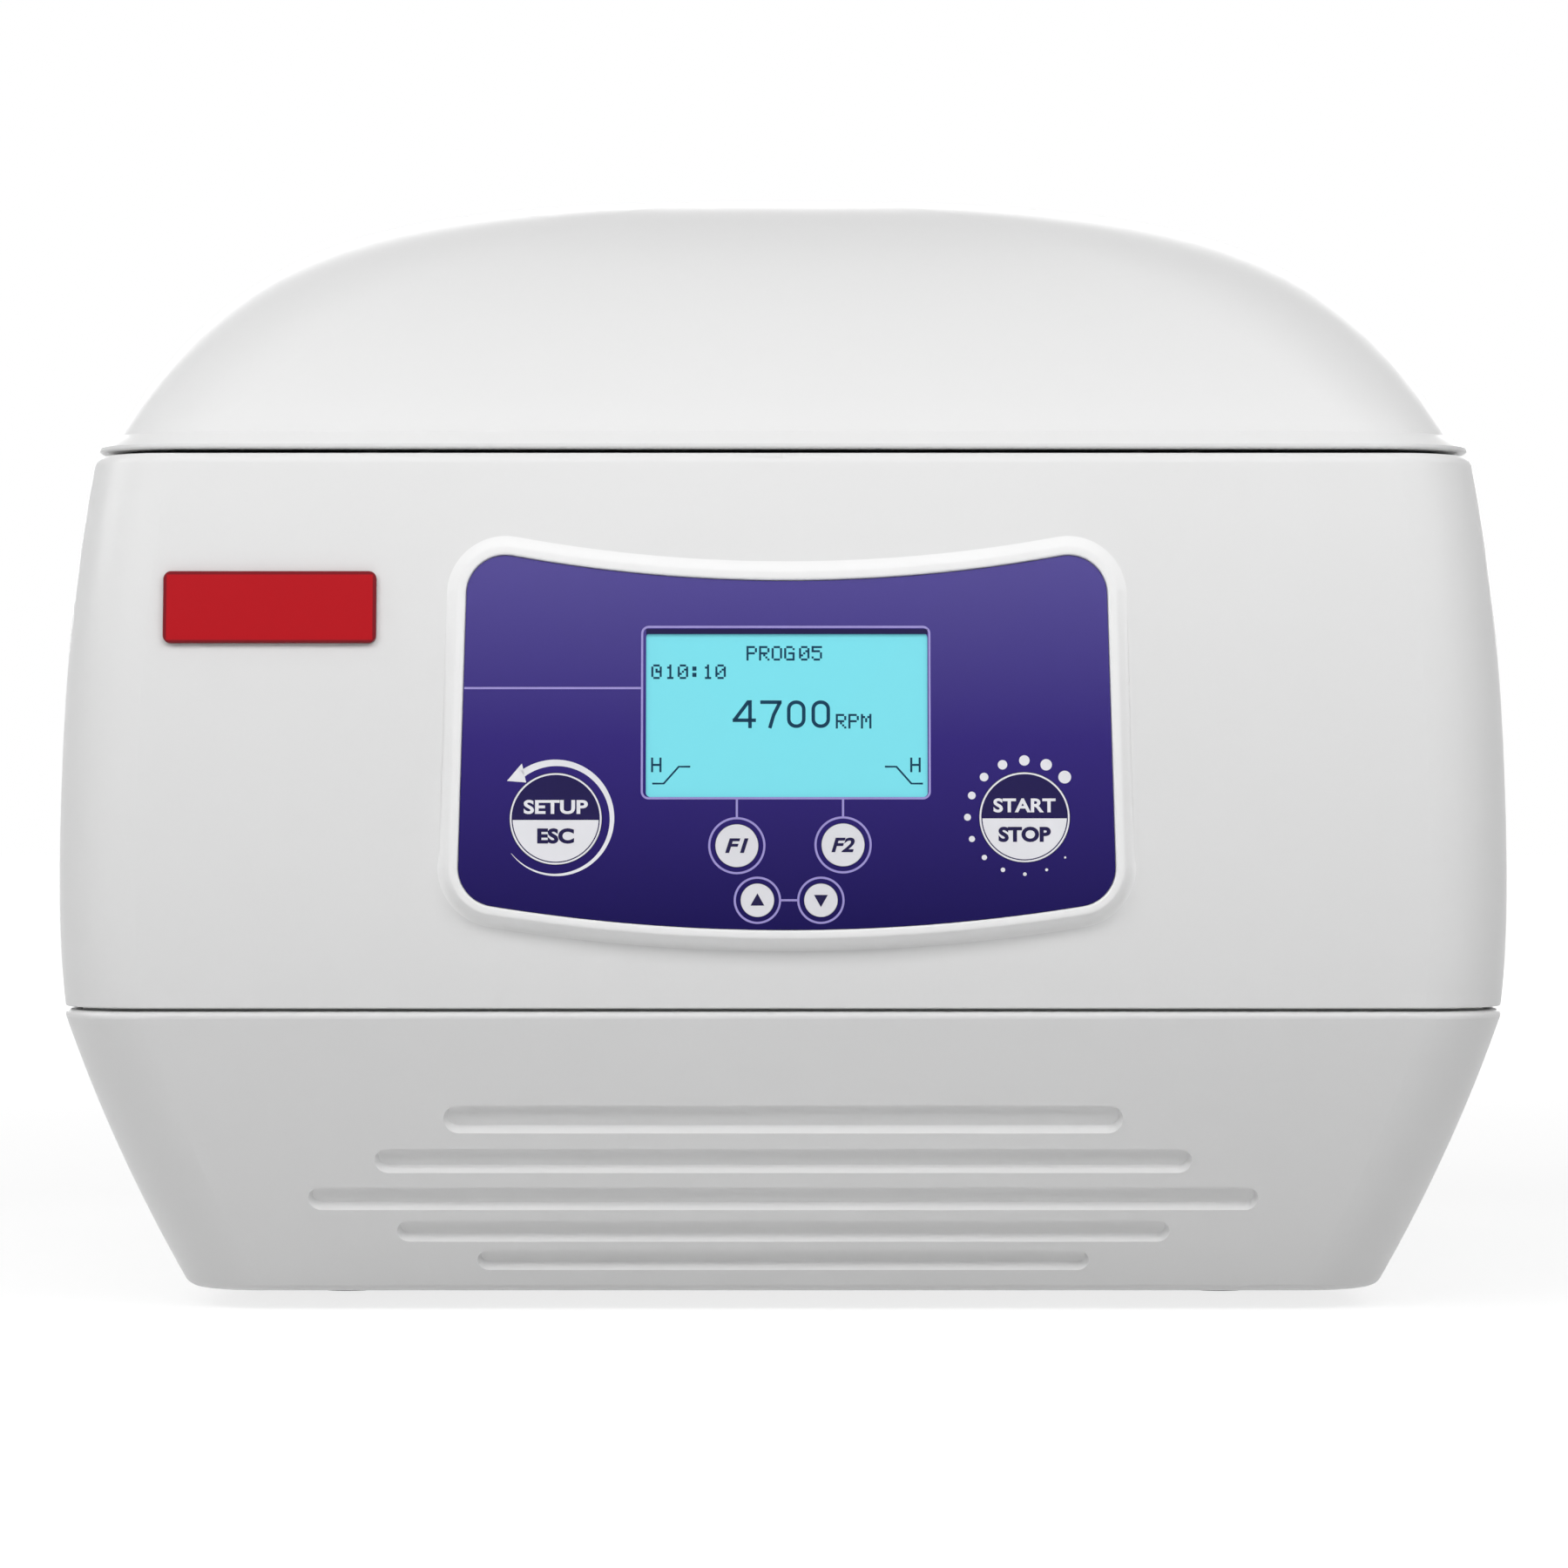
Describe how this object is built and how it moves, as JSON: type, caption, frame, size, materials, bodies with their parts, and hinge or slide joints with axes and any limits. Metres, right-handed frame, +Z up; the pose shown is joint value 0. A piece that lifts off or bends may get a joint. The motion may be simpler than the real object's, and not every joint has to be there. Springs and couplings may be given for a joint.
{
  "type": "microplate centrifuge",
  "caption": "Bench-top microplate centrifuge: white housing, domed hinged lid, swing-out rotor with plate carriers, purple key panel with a display.",
  "frame": {"origin": "on the bench, under the middle of the whole object's footprint", "axes": "+Z up, front panel faces -Y, +X to the right as seen from the front"},
  "size_m": [0.3714, 0.4216, 0.304],
  "materials": {
    "white_shell": "gloss white moulded plastic",
    "white_trim": "gloss white moulded plastic",
    "badge_red": "gloss red",
    "panel_film": "satin printed film",
    "key_white": "satin film",
    "display_pane": "clear",
    "display_body": "lit cyan display in a dark frame",
    "circuit": "glass-fibre board with components",
    "switch_black": "satin black",
    "rubber_black": "matte",
    "seal_grey": "matte",
    "stainless": "brushed",
    "bright_steel": "turned",
    "zinc_steel": "zinc plated",
    "guard_steel": "satin grey paint",
    "motor_paint": "satin black paint",
    "winding": "enamelled copper",
    "anodised": "satin anodised",
    "cast_aluminium": "satin",
    "liner_white": "satin white powder coat",
    "panel_grey": "satin light grey powder coat",
    "inlet_black": "satin black",
    "port_clear": "clear polycarbonate"
  },
  "bodies": {
    "cabinet": {"base_housing": "white_shell", "upper_housing": "white_shell", "rubber_feet": "rubber_black", "foot_screws": "zinc_steel", "chassis_plate": "zinc_steel", "guard_ring": "guard_steel", "guard_standoffs": "zinc_steel", "chamber_bowl": "stainless", "bowl_rim_seal": "seal_grey", "shaft_boot": "rubber_black", "motor_housing": "motor_paint", "motor_stator": "winding", "motor_bearings": "bright_steel", "damper_mounts": "rubber_black", "drive_board": "circuit", "drive_heatsink": "anodised", "panel_bezel": "white_trim", "panel_overlay": "panel_film", "lcd_glass": "display_pane", "lcd_module": "display_body", "keypad_board": "circuit", "key_switches": "switch_black", "badge_plate": "badge_red", "rear_panel": "panel_grey", "rear_panel_screws": "zinc_steel", "power_inlet": "inlet_black", "fuse_holders": "inlet_black", "rocker_frame": "inlet_black", "fan_frame": "switch_black", "fan_guard": "zinc_steel", "hinge_brackets": "bright_steel", "hinge_pins": "bright_steel", "latch_bracket": "zinc_steel", "latch_motor": "motor_paint", "deck_bumpers": "rubber_black"},
    "lid": {"lid_shell": "white_shell", "lid_liner": "liner_white", "view_port_bezel": "white_trim", "view_port_lens": "port_clear", "liner_screws": "zinc_steel", "lid_strikers": "bright_steel", "hinge_arms": "bright_steel"},
    "rotor": {"drive_shaft": "bright_steel", "motor_rotor": "bright_steel", "rotor_hub": "cast_aluminium", "rotor_arms": "anodised", "trunnion_pins": "bright_steel"},
    "lock_nut": {"rotor_nut": "anodised"},
    "carrier_left": {"plate_carrier_left": "anodised"},
    "carrier_right": {"plate_carrier_right": "anodised"},
    "latch": {"latch_shaft": "bright_steel", "latch_hooks": "zinc_steel"},
    "fan": {"fan_impeller": "switch_black"},
    "power_rocker": {"rocker_key": "switch_black"},
    "cap_setup": {"key_setup": "key_white"},
    "cap_start": {"key_start": "key_white"},
    "cap_f1": {"key_f1": "key_white"},
    "cap_f2": {"key_f2": "key_white"},
    "cap_up": {"key_up": "key_white"},
    "cap_down": {"key_down": "key_white"}
  },
  "joints": [
    {"name": "lid_hinge", "type": "hinge", "parent": "cabinet", "child": "lid", "pos_m": [0, 0.18, 0.228], "axis": [-1, 0, 0], "range_deg": [0, 75]},
    {"name": "rotor_spin", "type": "hinge", "parent": "cabinet", "child": "rotor", "pos_m": [0, -0.008, 0.158], "axis": [0, 0, 1], "continuous": true},
    {"name": "lock_nut_turn", "type": "hinge", "parent": "rotor", "child": "lock_nut", "pos_m": [0, -0.008, 0.182], "axis": [0, 0, 1], "continuous": true},
    {"name": "carrier_left_swing", "type": "hinge", "parent": "rotor", "child": "carrier_left", "pos_m": [-0.06, -0.008, 0.158], "axis": [0, 1, 0], "range_deg": [0, 90]},
    {"name": "carrier_right_swing", "type": "hinge", "parent": "rotor", "child": "carrier_right", "pos_m": [0.06, -0.008, 0.158], "axis": [0, -1, 0], "range_deg": [0, 90]},
    {"name": "latch_turn", "type": "hinge", "parent": "cabinet", "child": "latch", "pos_m": [0, -0.177, 0.186], "axis": [-1, 0, 0], "range_deg": [0, 25]},
    {"name": "fan_spin", "type": "hinge", "parent": "cabinet", "child": "fan", "pos_m": [-0.08, 0.193, 0.145], "axis": [0, 1, 0], "continuous": true},
    {"name": "rocker_tilt", "type": "hinge", "parent": "cabinet", "child": "power_rocker", "pos_m": [0.088, 0.2, 0.16], "axis": [1, 0, 0], "range_deg": [0, 14]},
    {"name": "key_setup_press", "type": "slide", "parent": "cabinet", "child": "cap_setup", "axis": [0, 0.9954, -0.0958], "range_m": [0, 0.0005], "stiffness_N_per_m": 2000},
    {"name": "key_start_press", "type": "slide", "parent": "cabinet", "child": "cap_start", "axis": [0, 0.9954, -0.0958], "range_m": [0, 0.0005], "stiffness_N_per_m": 2000},
    {"name": "key_f1_press", "type": "slide", "parent": "cabinet", "child": "cap_f1", "axis": [0, 0.9954, -0.0958], "range_m": [0, 0.0005], "stiffness_N_per_m": 2000},
    {"name": "key_f2_press", "type": "slide", "parent": "cabinet", "child": "cap_f2", "axis": [0, 0.9954, -0.0958], "range_m": [0, 0.0005], "stiffness_N_per_m": 2000},
    {"name": "key_up_press", "type": "slide", "parent": "cabinet", "child": "cap_up", "axis": [0, 0.9954, -0.0958], "range_m": [0, 0.0005], "stiffness_N_per_m": 2000},
    {"name": "key_down_press", "type": "slide", "parent": "cabinet", "child": "cap_down", "axis": [0, 0.9954, -0.0958], "range_m": [0, 0.0005], "stiffness_N_per_m": 2000}
  ]
}
